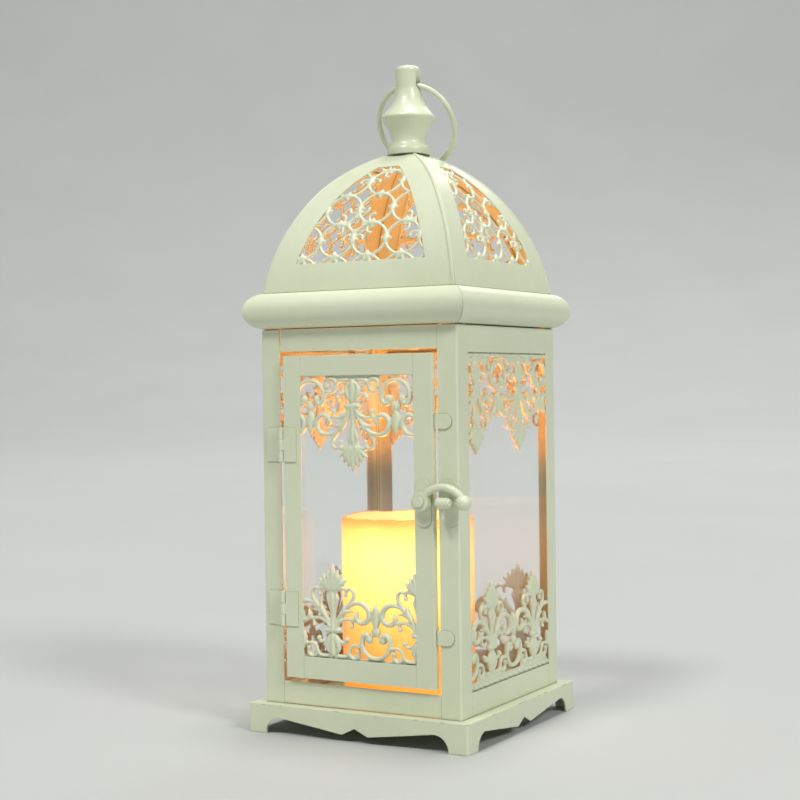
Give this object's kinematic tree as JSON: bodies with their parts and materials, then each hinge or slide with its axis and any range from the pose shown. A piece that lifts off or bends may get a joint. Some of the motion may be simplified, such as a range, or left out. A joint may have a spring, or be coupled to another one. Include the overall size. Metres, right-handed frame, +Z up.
{
  "type": "candle lantern",
  "caption": "Square tabletop lantern with hinged glass door, hook latch, cast openwork, four-panel domed roof, turned finial, carry ring and an LED pillar candle.",
  "frame": {"origin": "centre of the square footprint, on the surface the four feet stand on", "axes": "+Z up, the door faces -Y, the latch side of the door is towards +X"},
  "size_m": [0.1399, 0.1409, 0.371],
  "materials": {
    "cream_paint": "satin paint on pressed steel sheet",
    "painted_casting": "satin paint on cast metal",
    "clear_glass": "clear float glass",
    "candle_wax": "translucent ivory wax, lit from inside",
    "led_lens": "moulded lamp lens",
    "case_plastic": "moulded plastic",
    "battery_sleeve": "plain sleeve on a dry cell",
    "switch_plastic": "moulded plastic",
    "zinc_steel": "zinc-plated steel"
  },
  "bodies": {
    "root": {"base_plinth": "cream_paint", "post_front_right": "cream_paint", "post_back_right": "cream_paint", "post_back_left": "cream_paint", "post_front_left": "cream_paint", "front_top_rail": "cream_paint", "front_bottom_rail": "cream_paint", "right_top_rail": "cream_paint", "right_bottom_rail": "cream_paint", "back_top_rail": "cream_paint", "back_bottom_rail": "cream_paint", "left_top_rail": "cream_paint", "left_bottom_rail": "cream_paint", "right_glass": "clear_glass", "back_glass": "clear_glass", "left_glass": "clear_glass", "right_top_filigree": "cream_paint", "right_bottom_filigree": "cream_paint", "back_top_filigree": "cream_paint", "back_bottom_filigree": "cream_paint", "left_top_filigree": "cream_paint", "left_bottom_filigree": "cream_paint", "roof_band_front": "cream_paint", "roof_band_right": "cream_paint", "roof_band_back": "cream_paint", "roof_band_left": "cream_paint", "dome_panel_front": "cream_paint", "dome_panel_right": "cream_paint", "dome_panel_back": "cream_paint", "dome_panel_left": "cream_paint", "dome_lattice_front": "cream_paint", "dome_lattice_right": "cream_paint", "dome_lattice_back": "cream_paint", "dome_lattice_left": "cream_paint", "roof_brackets": "cream_paint", "crown_plate": "cream_paint", "finial": "painted_casting", "finial_stud": "zinc_steel", "finial_nut": "zinc_steel", "hinge_post_leaves": "cream_paint", "hinge_pins": "cream_paint", "latch_keeper": "painted_casting"},
    "door": {"door_stile_left": "cream_paint", "door_stile_right": "cream_paint", "door_top_rail": "cream_paint", "door_bottom_rail": "cream_paint", "door_glass": "clear_glass", "door_top_filigree": "cream_paint", "door_bottom_filigree": "cream_paint", "door_stop_tabs": "cream_paint", "hinge_door_leaves": "cream_paint", "latch_plate": "painted_casting"},
    "hook": {"latch_hook": "painted_casting"},
    "ring": {"carry_ring": "cream_paint"},
    "candle": {"candle_wax": "candle_wax", "candle_led": "led_lens", "candle_case": "case_plastic", "candle_battery_door": "case_plastic", "candle_batteries": "battery_sleeve"},
    "switch": {"candle_switch": "switch_plastic"}
  },
  "joints": [
    {"name": "door_hinge", "type": "hinge", "parent": "root", "child": "door", "pos_m": [-0.0472, -0.0631, 0.1137], "axis": [0, 0, -1], "range_deg": [0, 165]},
    {"name": "hook_pivot", "type": "hinge", "parent": "door", "child": "hook", "pos_m": [0.0416, -0.067, 0.1297], "axis": [0, -1, 0], "range_deg": [0, 100]},
    {"name": "ring_swing", "type": "hinge", "parent": "root", "child": "ring", "pos_m": [0, 0, 0.3598], "axis": [1, 0, 0], "range_deg": [0, 311]},
    {"name": "candle_lift", "type": "slide", "parent": "root", "child": "candle", "axis": [0, 0, 1], "range_m": [0, 0.06]},
    {"name": "power_switch", "type": "slide", "parent": "candle", "child": "switch", "axis": [1, 0, 0], "range_m": [0, 0.004]}
  ]
}
